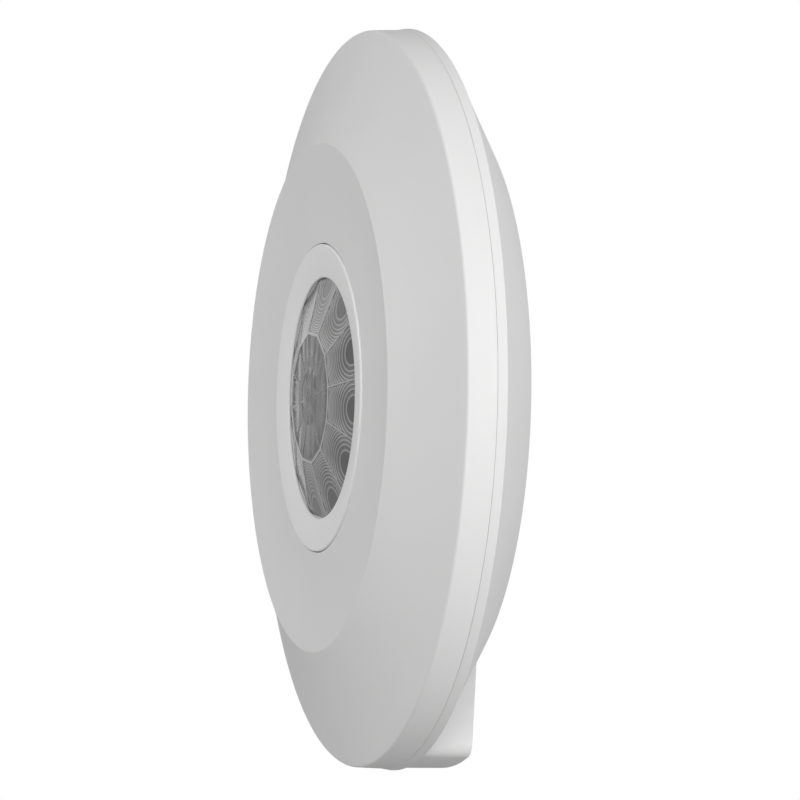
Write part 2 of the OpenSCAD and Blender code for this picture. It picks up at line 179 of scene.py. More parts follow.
def circle(r, at=(0, 0), steps=64):
    out = []
    for i in range(steps):
        x, y = polar(r, 360 * i / steps)
        out.append((at[0] + x, at[1] + y))
    return out


def box_outline(x0, y0, x1, y1, radius=0.0):
    return rounded([(x0, y0, radius), (x1, y0, radius), (x1, y1, radius), (x0, y1, radius)])


def disc_part(r, y0, above, corner, steps=150):
    """Outline of the part of a disc above or below the line y = y0, with rounded corners."""
    a = math.degrees(math.asin(y0 / r))
    start, sweep = (a, 180 - 2 * a) if above else (180 - a, 180 + 2 * a)
    arc = [polar(r, start + sweep * k / steps) for k in range(steps + 1)]
    half_corner = math.radians(90 - a if above else 90 + a) / 2
    taken = corner / math.tan(half_corner)
    trim = math.ceil(1.1 * taken / (math.radians(sweep) * r / steps))
    points = [(*arc[0], corner)] + [(*p, 0) for p in arc[trim:-trim]] + [(*arc[-1], corner)]
    return rounded(points)


def to_object(name, bm):
    bmesh.ops.remove_doubles(bm, verts=bm.verts, dist=1e-7)
    bmesh.ops.recalc_face_normals(bm, faces=bm.faces)
    mesh = bpy.data.meshes.new(name)
    bm.to_mesh(mesh)
    bm.free()
    obj = bpy.data.objects.new(name, mesh)
    bpy.context.scene.collection.objects.link(obj)
    return obj


def combine(obj, operation, build):
    """Applies a boolean with the solids that build() adds to an empty mesh."""
    bm = bmesh.new()
    build(bm)
    tool = to_object("tool", bm)
    step = obj.modifiers.new("step", "BOOLEAN")
    step.operation = operation
    step.solver = "MANIFOLD"
    step.object = tool
    bpy.context.view_layer.update()
    shaped = bpy.data.meshes.new_from_object(
        obj.evaluated_get(bpy.context.evaluated_depsgraph_get()))
    obj.modifiers.clear()
    old = obj.data
    obj.data = shaped
    bpy.data.meshes.remove(old)
    bpy.data.objects.remove(tool)


def finish_piece(obj, node, body, material, sharp=32):
    """Smooths a piece, gives it its material and puts it in the place of its CAD node."""
    for polygon in obj.data.polygons:
        polygon.use_smooth = True
    obj.data.set_sharp_from_angle(angle=math.radians(sharp))
    obj.data.materials.clear()
    obj.data.materials.append(material)
    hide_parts(node)
    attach(obj, body)
    return obj


# ---------------------------------------------------------------- materials
class Look:
    """A Principled material built from procedural nodes, in millimetre texture space."""

    def __init__(self, name):
        self.material = bpy.data.materials.new(name)
        self.material.use_nodes = True
        self.tree = self.material.node_tree
        self.shader = self.tree.nodes["Principled BSDF"]
        coordinates = self.tree.nodes.new("ShaderNodeTexCoord")
        scale = self.tree.nodes.new("ShaderNodeVectorMath")
        scale.operation = "SCALE"
        scale.inputs["Scale"].default_value = 1 / MM
        self.link(coordinates.outputs["Object"], scale.inputs[0])
        self.space = scale.outputs[0]

    def link(self, a, b):
        self.tree.links.new(a, b)

    def node(self, kind, **values):
        made = self.tree.nodes.new(kind)
        for key, value in values.items():
            if key in made.inputs:
                made.inputs[key].default_value = value
            else:
                setattr(made, key, value)
        return made

    def noise(self, per_mm, detail=3.0, roughness=0.55, stretch=(1, 1, 1), distortion=0.0):
        moved = self.node("ShaderNodeVectorMath", operation="MULTIPLY")
        moved.inputs[1].default_value = stretch
        self.link(self.space, moved.inputs[0])
        made = self.node("ShaderNodeTexNoise", Scale=per_mm, Detail=detail, Roughness=roughness,
                         Distortion=distortion)
        self.link(moved.outputs[0], made.inputs["Vector"])
        return made.outputs["Fac"]

    def ramp(self, value, low, high, start=0.0, end=1.0):
        made = self.node("ShaderNodeMapRange")
        self.link(value, made.inputs["Value"])
        made.inputs["From Min"].default_value = low
        made.inputs["From Max"].default_value = high
        made.inputs["To Min"].default_value = start
        made.inputs["To Max"].default_value = end
        return made.outputs["Result"]

    def math(self, operation, a, b=None):
        made = self.node("ShaderNodeMath", operation=operation)
        for socket, value in zip(made.inputs, (a, b)):
            if value is None:
                continue
            if isinstance(value, (int, float)):
                socket.default_value = value
            else:
                self.link(value, socket)
        return made.outputs[0]

    def mix(self, value, a, b):
        made = self.node("ShaderNodeMix", data_type="RGBA")
        self.link(value, made.inputs["Factor"])
        for socket, colour in ((made.inputs[6], a), (made.inputs[7], b)):
            if isinstance(colour, tuple):
                socket.default_value = (*colour, 1)
            else:
                self.link(colour, socket)
        return made.outputs[2]

    def bump(self, value, depth_mm, under=None):
        made = self.node("ShaderNodeBump", Strength=1.0, Distance=depth_mm * MM)
        self.link(value, made.inputs["Height"])
        if under is not None:
            self.link(under, made.inputs["Normal"])
        return made.outputs["Normal"]

    def set(self, **sockets):
        for name, value in sockets.items():
            socket = self.shader.inputs[name.replace("_", " ")]
            if isinstance(value, (int, float)):
                socket.default_value = value
            elif isinstance(value, tuple):
                socket.default_value = (*value, 1)
            else:
                self.link(value, socket)
        return self


def grey(level):
    """A neutral white plastic's colour at this level, a touch warm."""
    return (level * 1.003, level, level * 0.998)


def moulded(name, colour, roughness=0.45, grain_mm=0.25, depth_mm=0.006, vary=0.03, sheen=0.0,
            specular=0.5):
    """Moulded plastic: spark-eroded grain, slow flow marks and slightly uneven gloss."""
    look = Look(name)
    slow = look.noise(0.035, detail=2)
    grain = look.noise(1 / grain_mm, detail=4, roughness=0.6)
    dark = tuple(c * (1 - vary) for c in colour)
    light = tuple(min(1.0, c * (1 + vary)) for c in colour)
    look.set(Base_Color=look.mix(look.ramp(slow, 0.3, 0.7), dark, light),
             Roughness=look.ramp(grain, 0.3, 0.7, roughness - 0.05, roughness + 0.05),
             Normal=look.bump(grain, depth_mm), Specular_IOR_Level=specular,
             Coat_Weight=sheen, Coat_Roughness=0.25)
    return look.material


def metal(name, colour, roughness=0.3, stretch=(1, 1, 1), per_mm=6.0, depth_mm=0.003):
    """Plated or stamped metal: brushed scratches and slow tarnish."""
    look = Look(name)
    scratches = look.noise(per_mm, detail=5, roughness=0.7, stretch=stretch)
    tarnish = look.noise(0.25, detail=4, roughness=0.6, distortion=0.6)
    dull = tuple(c * 0.72 for c in colour)
    look.set(Base_Color=look.mix(look.ramp(tarnish, 0.35, 0.75), colour, dull),
             Metallic=1.0,
             Roughness=look.ramp(scratches, 0.25, 0.75, roughness - 0.1, roughness + 0.14),
             Normal=look.bump(scratches, depth_mm))
    return look.material


WHITE = grey(0.80)
white_shell = moulded("white_shell", WHITE, roughness=0.5, grain_mm=0.16, depth_mm=0.004,
                      vary=0.012, specular=0.3)
white_ring = moulded("white_ring", grey(0.885), roughness=0.42, grain_mm=0.2, depth_mm=0.002,
                     vary=0.01, specular=0.3)
white_back = moulded("white_back", WHITE, roughness=0.5, grain_mm=0.16, depth_mm=0.004,
                     vary=0.012, specular=0.3)
white_base = moulded("white_base", WHITE, roughness=0.52, grain_mm=0.2, depth_mm=0.005,
                     vary=0.015, specular=0.3)


def lens_material():
    """Translucent grey lens plastic: dark grooves with painted highlights on their edges and painted
    shade in the middle of the inner cells, under a smooth outer skin.
    """
    look = Look("lens_plastic")
    edge = look.node("ShaderNodeAttribute", attribute_name="painted_light_and_shade").outputs["Fac"]
    cloud = look.ramp(look.noise(0.12, detail=3), 0.3, 0.7, 0.065, 0.09)
    # tone: the plastic's own grey cloud plus painted highlights on the groove edges, beads and lens
    # step, less painted shade in the middle of the inner cells
    tone = look.math("MAXIMUM", look.math("ADD", cloud, look.math("MULTIPLY", edge, 0.42)), 0.03)
    skin = look.node("ShaderNodeAttribute", attribute_name="skin_normal").outputs["Vector"]
    turned = look.node("ShaderNodeVectorTransform", vector_type="NORMAL", convert_from="OBJECT",
                       convert_to="WORLD")
    look.link(skin, turned.inputs[0])
    look.set(Base_Color=tone,
             Roughness=look.ramp(look.noise(1.5), 0.3, 0.7, 0.38, 0.48),
             Specular_IOR_Level=0.15,
             Normal=look.bump(look.noise(3.0, detail=2), 0.002),
             Coat_Weight=1.0, Coat_IOR=1.5,
             Coat_Roughness=look.ramp(look.noise(0.4, detail=4), 0.3, 0.7, 0.06, 0.14),
             Coat_Normal=turned.outputs[0])
    return look.material


lens_plastic = lens_material()


# ---------------------------------------------------------------- head: shells and ring
def dish(t):
    """Height of the dished face, with t from 0 at the lens ring to 1 at the ridge."""
    return DISH_H + DISH_RISE * t * t - DISH_SAG * t * (1 - t)


def face_height(t):
    """Height of the hollow sloping face, with t from 0 at the rim to 1 at the ridge."""
    return RIM_H + (RIDGE_H - RIM_H) * t - 4 * FACE_SAG * t * (1 - t)


def build_front_cover():
    slope = (RIDGE_H - RIM_H) / (RIM_R - RIDGE_R)
    inner_top = RIDGE_H - WALL - 0.05
    inner_rim_r = RIM_R - WALL
    dish_r = [HOLE_R + (RIDGE_R - HOLE_R) * k / 12 for k in range(12)]
    face = [(r, dish((r - HOLE_R) / (RIDGE_R - HOLE_R)), 0) for r in reversed(dish_r)]
    face[-1] = (*face[-1][:2], 0.12)
    profile = rounded([
        (FOOT_R, PARTING_H + SEAM_GAP, 0.04),
        (RIM_R, RIM_H, 0.5),
        *[(RIM_R + (RIDGE_R - RIM_R) * k / 12, face_height(k / 12), 0) for k in range(1, 12)],
        (RIDGE_R, RIDGE_H, 0.4),
        *face,
        (HOLE_R, DISH_H - WALL + 0.05, 0.1),
        (RIDGE_R - 1, inner_top, 0.8),
        (inner_rim_r, inner_top - (inner_rim_r - RIDGE_R + 1) * slope, 0.8),
        (inner_rim_r, PARTING_H + SEAM_GAP, 0.08)], steps=8)
    bm = bmesh.new()
    revolve(bm, profile)
    cover = to_object("front_cover_shell", bm)

    def bosses(tool):
        boss_r = 2.8
        for a in BOSS_ANGLES:
            prism(tool, circle(boss_r, polar(BOSS_RING, a), 48), PARTING_H + 1.2, RIM_H + 0.5, 0.2)

    def pilots(tool):
        pilot_r = 1.3
        for a in BOSS_ANGLES:
            prism(tool, circle(pilot_r, polar(BOSS_RING, a), 32), PARTING_H, RIM_H - 0.1)

    combine(cover, "UNION", bosses)
    combine(cover, "DIFFERENCE", pilots)
    finish_piece(cover, "front_cover", "head", white_shell)


def build_lens_ring():
    flange = DISH_H - WALL - 0.05
    lip = 0.33                # thickness of the lip over the lens
    bm = bmesh.new()
    revolve(bm, rounded([
        (OPENING_R, LIP_H - lip, 0.05),
        (OPENING_R, LIP_H, 0.24),
        (RING_R, RING_H, 0.28),
        (RING_R, flange, 0),
        (RING_R + 2.5, flange, 0.15),
        (RING_R + 2.5, flange - 1.2, 0.15),
        (RING_R - 1.4, flange - 1.2, 0.1),
        (RING_R - 1.4, flange - 1.9, 0.1),
        (OPENING_R + 1.9, flange - 1.9, 0.1),
        (OPENING_R + 1.9, LIP_H - lip, 0)], steps=6))
    finish_piece(to_object("lens_ring_trim", bm), "lens_ring", "head", white_ring)


# ---------------------------------------------------------------- Fresnel lens
LENS_SIDES = 12
LENS_TURN = 4.3           # angle of the first seam
CREST_R = 10.3            # corner radius of the inner polygon
SEAM_FALL = 0.2635        # fall of the facets along a seam
FACETS_END_H = 19.62      # height where the facets meet the flange's step
FLANGE_H, FLANGE_LOW = 19.8, 18.8
FLANGE_R = OPENING_R + 1.7
FACET_HUB_R = 17.6        # radius where the grooves of a facet have their centre
CELL_R = 4.75             # corner radius of the ring of cells
CORE_R = 1.95             # corner radius of the middle cell
DOME_TILT = 0.2           # lean of the skin at the polygon's corners
CELL_TILT = 0.06          # extra lean across one cell
RIM_PAINTED_HIGHLIGHT = 1.7           # painted highlight on the step round the facets
FACET_EDGE_PAINTED_HIGHLIGHT = 0.95   # painted highlight on the beads between and round the facets
CELL_EDGE_PAINTED_HIGHLIGHT = 0.22    # painted highlight on the beads between the cells
MIDDLE_PAINTED_LIGHT = 0.05       # painted light in the smooth middle of a zone
CREST_PAINTED_HIGHLIGHT = 0.28        # painted highlight at the far end of a zone's grooves
GROOVE_SINK = 0.35        # how deep the groove crests lie, as a part of the groove depth
BEAD_CROWN = 0.55         # place of a bead's crown across its width
GROOVE_SPREAD = 0.53      # how fast the groove radii grow with their number
RISER = 0.07              # width of a groove's steep side
# groove radius, groove depth, bead height, painted highlight of the groove edges, painted shade in the
# middle
FACET = (2.1, 0.06, 0.03, 1.0, 0.0)
OUTER_CELL = (1.5, 0.03, 0.015, 0.25, 0.0)
INNER_CELL = (1.1, 0.03, 0.015, 0.2, 0.16)
CORE_CELL = (0.9, 0.03, 0.015, 0.2, 0.16)


def lens_point(r, degrees, h):
    return Vector((*polar(r, degrees), h))


def between(a, b, count):
    """Points from a up to but not including b."""
    return [a.lerp(b, k / count) for k in range(count)]


def skin_normal(at, normal, centre):
    """Direction of the smooth outer skin: the facet's, or a shallow dome's inside the polygon."""
    if normal.z < 0.999:
        return Vector((normal.x, -normal.z, normal.y))
    out = Vector((at.x, 0, at.z)) / (CREST_R * MM)
    off = (at - to_world(*centre)) / (2.5 * MM)
    return (Vector((0, -1, 0)) + out * DOME_TILT + Vector((off.x, 0, off.z)) * CELL_TILT).normalized()


def add_zone(bm, layers, edges, centre, style):
    """Adds one lens zone: grooves round centre, clipped by a straight-sided outline.

    edges lists (corner, points to the next corner, bead width), and a raised bead runs along
    each edge. layers are the vertex layers for the painted highlights and painted shade of the colour,
    and for the skin's normal.
    style is one of the tuples above.
    """
    groove_r, groove_depth, bead, painted_highlight_scale, painted_middle_shade = style
    light, skin = layers
    corners = [e[0] for e in edges]
    count = len(corners)
    middle = sum(corners, Vector()) / count
    normal = Vector()
    for i in range(count):
        normal += (corners[i] - middle).cross(corners[(i + 1) % count] - middle)
    normal.normalize()
    if normal.z < 0:
        normal = -normal
    inset_lines = []
    for i, (corner, _, width) in enumerate(edges):
        along = (corners[(i + 1) % count] - corner).normalized()
        inward = normal.cross(along)
        if inward.dot(middle - corner) < 0:
            inward = -inward
        inset_lines.append((corner + inward * width, along))
    inner = []
    for i in range(count):
        p, u = inset_lines[i - 1]
        q, v = inset_lines[i]
        cross = u.cross(v)
        step = (q - p).cross(v).dot(cross) / cross.length_squared
        inner.append(p + u * step)
    outer_loop, inner_loop = [], []
    for i, (corner, steps, _) in enumerate(edges):
        outer_loop += between(corner, corners[(i + 1) % count], steps)
        inner_loop += between(inner[i], inner[(i + 1) % count], steps)
    sink = normal * groove_depth * GROOVE_SINK
    outer = [bm.verts.new(to_world(*p)) for p in outer_loop]
    rim = [bm.verts.new(to_world(*(p - sink))) for p in inner_loop]
    crown = [bm.verts.new(to_world(*(p.lerp(q, BEAD_CROWN) + normal * bead)))
             for p, q in zip(outer_loop, inner_loop)]
    total = len(outer)
    made = outer + rim + crown
    # the beads and the lens step get painted highlights in the colour layer
    for v in outer + crown:
        on_rim = -v.co.y < (FACETS_END_H + 0.06) * MM
        on_facets = v.co.xz.length > 0.94 * CREST_R * MM
        v[light] = RIM_PAINTED_HIGHLIGHT if on_rim else FACET_EDGE_PAINTED_HIGHLIGHT if on_facets else CELL_EDGE_PAINTED_HIGHLIGHT
    for a, b in ((outer, crown), (crown, rim)):
        for i in range(total):
            j = (i + 1) % total
            bm.faces.new((a[i], a[j], b[j], b[i]))
    reach = [(p - centre).length for p in inner_loop]
    # samples from the centre outwards: distance, drop below the crests and painted highlight
    samples = [(groove_r * k / 4, groove_depth * (k / 4) ** 2, 0.0) for k in range(1, 4)]
    n = 1
    r = groove_r
    while r < max(reach):
        following = groove_r * (n + 1) ** GROOVE_SPREAD
        riser = min(RISER, (following - r) * 0.2)
        samples.append((r - riser / 2, groove_depth, 0.0))
        samples.append((r + riser / 2, 0.0, 1.0))
        samples.append((r + (following - r) * 0.45, groove_depth * 0.45, 0.12))
        n += 1
        r = following
    columns = []
    for i, p in enumerate(inner_loop):
        direction = (p - centre).normalized()
        column = []
        for distance, drop, painted_glint in samples:
            if distance < reach[i] - 0.04:
                at = centre + direction * distance - sink - normal * drop
                v = bm.verts.new(to_world(*at))
                far = distance / reach[i]
                # painted highlight on the risers, growing towards the zone's far end, less painted shade
                # towards a cell's middle
                v[light] = (painted_highlight_scale * (MIDDLE_PAINTED_LIGHT + painted_glint * (0.55 + 0.3 * far)
                                     + CREST_PAINTED_HIGHLIGHT * far ** 3) - painted_middle_shade * (1 - far))
                column.append(v)
                made.append(v)
        columns.append(column)
    hub = bm.verts.new(to_world(*(centre - sink)))
    # the hub gets the middle's painted light less the painted shade
    hub[light] = painted_highlight_scale * MIDDLE_PAINTED_LIGHT - painted_middle_shade
    for v in made + [hub]:
        v[skin] = skin_normal(v.co, normal, centre)
    for i in range(total):
        j = (i + 1) % total
        left = [hub] + columns[i]
        right = [hub] + columns[j]
        shared = min(len(left), len(right))
        for k in range(shared - 1):
            face = list(dict.fromkeys((left[k], right[k], right[k + 1], left[k + 1])))
            bm.faces.new(face)
        tail = left[shared - 1:] + [rim[i]]
        other = right[shared - 1:] + [rim[j]]
        bm.faces.new(tail + list(reversed(other)))


def build_fresnel_lens():
    bm = bmesh.new()
    layers = (bm.verts.layers.float.new("painted_light_and_shade"),
              bm.verts.layers.float_vector.new("skin_normal"))
    step = 360 / LENS_SIDES
    apothem = CREST_R * math.cos(math.radians(step / 2))
    slope = SEAM_FALL / math.cos(math.radians(step / 2))
    crest = CREST_H - 0.03
    rim_corner = CREST_R + (crest - FACETS_END_H) / SEAM_FALL
    outer_count, side_count, crest_count = 30, 34, 20
    for i in range(LENS_SIDES):
        a, b = LENS_TURN + i * step, LENS_TURN + (i + 1) * step
        middle = (a + b) / 2
        hub = lens_point(FACET_HUB_R, middle, crest - (FACET_HUB_R - apothem) * slope)
        add_zone(bm, layers, [
            (lens_point(CREST_R, a, crest), side_count, 0.16),
            (lens_point(rim_corner, a, FACETS_END_H), outer_count, 0.12),
            (lens_point(rim_corner, b, FACETS_END_H), side_count, 0.16),
            (lens_point(CREST_R, b, crest), crest_count, 0.3)], hub, FACET)
        add_zone(bm, layers, [
            (lens_point(CELL_R, a, crest), 16, 0.12),
            (lens_point(CREST_R, a, crest), crest_count, 0.3),
            (lens_point(CREST_R, b, crest), 16, 0.12),
            (lens_point(CELL_R, b, crest), 10, 0.12)],
            lens_point(8.7, middle, crest), OUTER_CELL)
    for i in range(0, LENS_SIDES, 2):
        a, b, c = (LENS_TURN + (i + k) * step for k in range(3))
        add_zone(bm, layers, [
            (lens_point(CORE_R, a, crest), 10, 0.1),
            (lens_point(CELL_R, a, crest), 10, 0.12),
            (lens_point(CELL_R, b, crest), 10, 0.12),
            (lens_point(CELL_R, c, crest), 10, 0.1),
            (lens_point(CORE_R, c, crest), 12, 0.1)],
            lens_point(3.5, b, crest), INNER_CELL)
    corners = [lens_point(CORE_R, LENS_TURN + i * 60, crest) for i in range(6)]
    add_zone(bm, layers, [(p, 12, 0.1) for p in corners], Vector((0, 0, crest)), CORE_CELL)

    # the flange, the cavity's wall and the inner skin follow the outline's own directions
    bmesh.ops.remove_doubles(bm, verts=bm.verts, dist=2e-6)
    outline = []
    for i in range(LENS_SIDES):
        a, b = LENS_TURN + i * step, LENS_TURN + (i + 1) * step
        outline += between(lens_point(rim_corner, a, FACETS_END_H),
                           lens_point(rim_corner, b, FACETS_END_H), outer_count)
    angles = [math.degrees(math.atan2(p.y, p.x)) for p in outline]
    cavity_r, low = OPENING_R - 1.4, FLANGE_LOW
    inner_crest = CREST_H - 0.65

    def inner_height(r, degrees):
        off = (degrees - LENS_TURN) % step - step / 2
        return inner_crest - slope * (r * math.cos(math.radians(off)) - apothem)

    def crest_radius(degrees):
        off = (degrees - LENS_TURN) % step - step / 2
        return apothem / math.cos(math.radians(off))

    loops = [
        [tuple(p) for p in outline],
        [(p.x * 1.002, p.y * 1.002, FLANGE_H) for p in outline],
        [(*polar(FLANGE_R, a), FLANGE_H) for a in angles],
        [(*polar(FLANGE_R, a), low) for a in angles],
        [(*polar(cavity_r, a), low) for a in angles],
        [(*polar(cavity_r, a), inner_height(cavity_r, a)) for a in angles],
        [(*polar(crest_radius(a), a), inner_crest) for a in angles]]
    rings = [[bm.verts.new(to_world(*p)) for p in loop] for loop in loops]
    for ring in rings:
        for v in ring:
            # the step round the facets gets the painted highlight; the hidden inner faces get none
            v[layers[0]] = RIM_PAINTED_HIGHLIGHT if -v.co.y > (FACETS_END_H - 0.01) * MM else 0
            v[layers[1]] = Vector((-v.co.x, -v.co.xz.length, -v.co.z)).normalized()
    for ring, following in zip(rings, rings[1:]):
        for i in range(len(ring)):
            j = (i + 1) % len(ring)
            bm.faces.new((ring[i], ring[j], following[j], following[i]))
    bm.faces.new(rings[-1])
    bmesh.ops.remove_doubles(bm, verts=bm.verts, dist=2e-6)
    lens = to_object("fresnel_lens_moulding", bm)
    finish_piece(lens, "fresnel_lens", "head", lens_plastic, sharp=24)


# ---------------------------------------------------------------- rear cover
KNOB_HOLE_R = 3.3
KNOB_TURN = 135           # degrees either way
SCALE_MARKS = 9           # grooves round each setting knob
BLADE_PITCH = 11          # between the plug blades


def scale_mark(knob_angle, turn, near, far, width=0.22):
    """Outline of one straight groove that points at a knob's centre."""
    x, y = polar(KNOB_RING, knob_angle)
    u = Vector(polar(1, turn))
    side = Vector((-u.y, u.x)) * width / 2
    corners = (u * near - side, u * far - side, u * far + side, u * near + side)
    return [(x + c.x, y + c.y) for c in corners]


def build_rear_cover():
    plate = 1.6               # thickness of the rear plate, the well's wall and the bay's roof
    plate_top = HEAD_H + plate
    spigot_r, spigot_h, spigot_wall = RIM_R - WALL - 0.1, PARTING_H + 1.9, 1.4
    bay_r, bay_roof, bay_wall = 41.2, 10.0, 1.8
    board_h = height_of("main_board") - 1.6
    seat_r, shaft_r, pilot_r = 3.1, 1.6, 1.2
    bm = bmesh.new()
    revolve(bm, rounded([
        (WELL_R - 0.8, HEAD_H, 0),
        (BAND_R, HEAD_H, 0.12),
        (FOOT_R, PARTING_H, 0.04),
        (spigot_r, PARTING_H, 0),
        (spigot_r, spigot_h, 0.2),
        (spigot_r - spigot_wall, spigot_h, 0.2),
        (spigot_r - spigot_wall, plate_top, 0.3),
        (WELL_R - 0.8, plate_top, 0)], steps=5))
    cover = to_object("rear_cover_shell", bm)

    def well(tool):
        prism(tool, disc_part(WELL_R, CHORD_Y, True, 2.0), WELL_H, plate_top, 0.5)

    def bay(tool):
        prism(tool, disc_part(bay_r, CHORD_Y + plate, False, 1.0), HEAD_H + 0.01,
              bay_roof + plate, 0, 0.4)

    def posts(tool):
        for a in BOSS_ANGLES:
            prism(tool, circle(3.7, polar(BOSS_RING, a), 48), HEAD_H + 0.3, HEAD_H + 2.5, 0, 0.2)
        for a in POST_ANGLES:
            prism(tool, circle(2.4, polar(POST_RING, a), 40), HEAD_H + 0.5, board_h, 0, 0.2)

    def legs(tool):
        for side in (-1, 1):
            x0, x1 = sorted((side * 40.8, side * 42.1))
            prism(tool, box_outline(x0, -4, x1, 4, 0.3), WELL_H - 0.4, HEAD_H + 0.5, 0.2)
            nose0, nose1 = sorted((side * 41.9, side * 42.38))
            prism(tool, box_outline(nose0, -2, nose1, 2, 0.15), WELL_H - 0.2, WELL_H + 0.8)

    def hollows(tool):
        prism(tool, disc_part(WELL_R - plate, CHORD_Y + plate, True, 1.5), WELL_H + 1.4,
              board_h + 1.6, 0.4)

    def bay_hollow(tool):
        prism(tool, disc_part(bay_r - bay_wall, CHORD_Y, False, 1.2), 0, bay_roof, 0, 0.3)

    def holes(tool):
        for a in BOSS_ANGLES:
            prism(tool, circle(seat_r, polar(BOSS_RING, a), 48), HEAD_H - 1, HEAD_H + 1.3)
        for a in KNOB_ANGLES:
            prism(tool, circle(KNOB_HOLE_R, polar(KNOB_RING, a), 56), HEAD_H - 1, plate_top + 1)
            for k in range(SCALE_MARKS):
                turn = a - KNOB_TURN + 2 * KNOB_TURN * k / (SCALE_MARKS - 1)
                near = KNOB_HOLE_R + 0.6
                far = near + (1.0 if k in (0, SCALE_MARKS - 1) else 0.55)
                prism(tool, scale_mark(a, turn, near, far), HEAD_H - 1, HEAD_H + 0.2)
        for x in (-BLADE_PITCH, 0, BLADE_PITCH):
            prism(tool, box_outline(x - 1.8, -17.2, x + 1.8, -15.8, 0.2), bay_roof - 1, 12.6)

    def screw_holes(tool):
        for a in BOSS_ANGLES:
            prism(tool, circle(shaft_r, polar(BOSS_RING, a), 32), HEAD_H, board_h)
        for a in POST_ANGLES:
            prism(tool, circle(pilot_r, polar(POST_RING, a), 32), HEAD_H + 0.8, board_h + 1)

    for operation, step in (("UNION", well), ("UNION", bay), ("UNION", posts), ("UNION", legs),
                            ("DIFFERENCE", hollows), ("DIFFERENCE", bay_hollow),
                            ("DIFFERENCE", holes), ("DIFFERENCE", screw_holes)):
        combine(cover, operation, step)
    finish_piece(cover, "rear_cover", "head", white_back)


# ---------------------------------------------------------------- base with its cable spout
SPOUT_ROOT, SPOUT_TIP = 16.2, 13.3           # half widths at its root and its end
SPOUT_CORNER, SPOUT_R = 2.6, 57.6
SLOT_X = 30               # from the middle to a mounting slot
CLAMP_SCREWS = ((-9.5, -37), (9.5, -37))
GROMMET_R, GROMMET_AT = 5.5, (-26, -21)


def spout_outline(g):
    """Plan of the cable spout grown by g, from its root inside the socket. Anticlockwise."""
    end_r, tip, root = SPOUT_R + g, SPOUT_TIP + g, SPOUT_ROOT + g
    side = [(root, -36, 0), (root, -41.6, 0),
            (tip, -math.sqrt(end_r ** 2 - tip ** 2), SPOUT_CORNER + g), (*polar(end_r, 279), 0)]
    right = rounded(side, steps=8, closed=False)
    left = [(-x, y) for x, y in right]
    end = [polar(end_r, 261 + 18 * k / 24) for k in range(1, 24)]
    return left + end + list(reversed(right))


def slot_outline(x, r, length):
    """A round-ended slot across, centred at (x, 0)."""
    reach = length / 2 - r
    half = [polar(r, -90 + 180 * k / 24) for k in range(25)]
    return ([(x + reach + a, b) for a, b in half] + [(x - reach - a, -b) for a, b in half])


def build_base():
    floor = 2.0
    fall = (SKIRT_R - BASE_R) / BASE_H
    foot_r = BASE_R + fall * floor - BASE_WALL
    bm = bmesh.new()
    revolve(bm, rounded([
        (0, 0, 0),
        (BASE_R, 0, 0.3),
        (SKIRT_R, BASE_H, 0.08),
        (SKIRT_R - BASE_WALL, BASE_H, 0.15),
        (foot_r, floor, 0.25),
        (SOCKET_R + SOCKET_WALL, floor, 0.25),
        (SOCKET_R + SOCKET_WALL, BASE_H, 0.2),
        (0, BASE_H, 0)], steps=5))
    base = to_object("base_shell", bm)

    def spout(tool):
        prism(tool, spout_outline(0), 0, BASE_H, 0.3, 0.12)

    def socket(tool):
        prism(tool, circle(SOCKET_R, steps=300), floor, BASE_H + 1, 0.4)

    def passage(tool):
        prism(tool, spout_outline(-1.9), floor, BASE_H + 1, 0.4)

    def bosses(tool):
        for at in CLAMP_SCREWS:
            prism(tool, circle(2.7, at, 48), floor - 0.01, 5, 0, 0.2)

    def slots(tool):
        for x in (-SLOT_X, SLOT_X):
            for low, r, length in ((-1, 2.2, 9), (1.1, 4.2, 13)):
                prism(tool, slot_outline(x, r, length), low, floor + 1)

    def others(tool):
        for at in CLAMP_SCREWS:
            prism(tool, circle(1.3, at, 32), 2.4, 6)
        for side in (-1, 1):
            x0, x1 = sorted((side * 42, side * 43.3))
            prism(tool, box_outline(x0, -3, x1, 3), WELL_H - 0.4, WELL_H + 1.0)
        prism(tool, circle(GROMMET_R, GROMMET_AT, 72), -1, floor + 1)
        for x in (-6, 5.4):
            prism(tool, box_outline(x, -56.4, x + 0.6, -54.4), floor + 0.01, BASE_H + 1)

    for operation, step in (("UNION", spout), ("DIFFERENCE", socket), ("DIFFERENCE", passage),
                            ("UNION", bosses), ("DIFFERENCE", slots), ("DIFFERENCE", others)):
        combine(base, operation, step)
    finish_piece(base, "base", "base", white_base)


build_front_cover()
build_lens_ring()
build_fresnel_lens()
build_rear_cover()
build_base()


# ---------------------------------------------------------------- finishes of the CAD nodes
def middle(node):
    """Centre of a node in millimetres, in the row frame."""
    low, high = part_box(node)
    return (low + high) / 2 / MM


def along(look, axis, centre=0.0):
    """Distance in millimetres along a row-frame axis from a centre."""
    split = look.node("ShaderNodeSeparateXYZ")
    look.link(look.space, split.inputs[0])
    return look.math("SUBTRACT", split.outputs[axis], centre)


def inside(look, value, low, high):
    """1 where the value lies between low and high, else 0."""
    return look.math("MULTIPLY", look.math("GREATER_THAN", value, low),
                     look.math("LESS_THAN", value, high))


def waves(look, value, pitch):
    """A rounded ripple that repeats every pitch millimetres."""
    return look.math("ABSOLUTE", look.math("SINE", look.math("MULTIPLY", value, math.pi / pitch)))


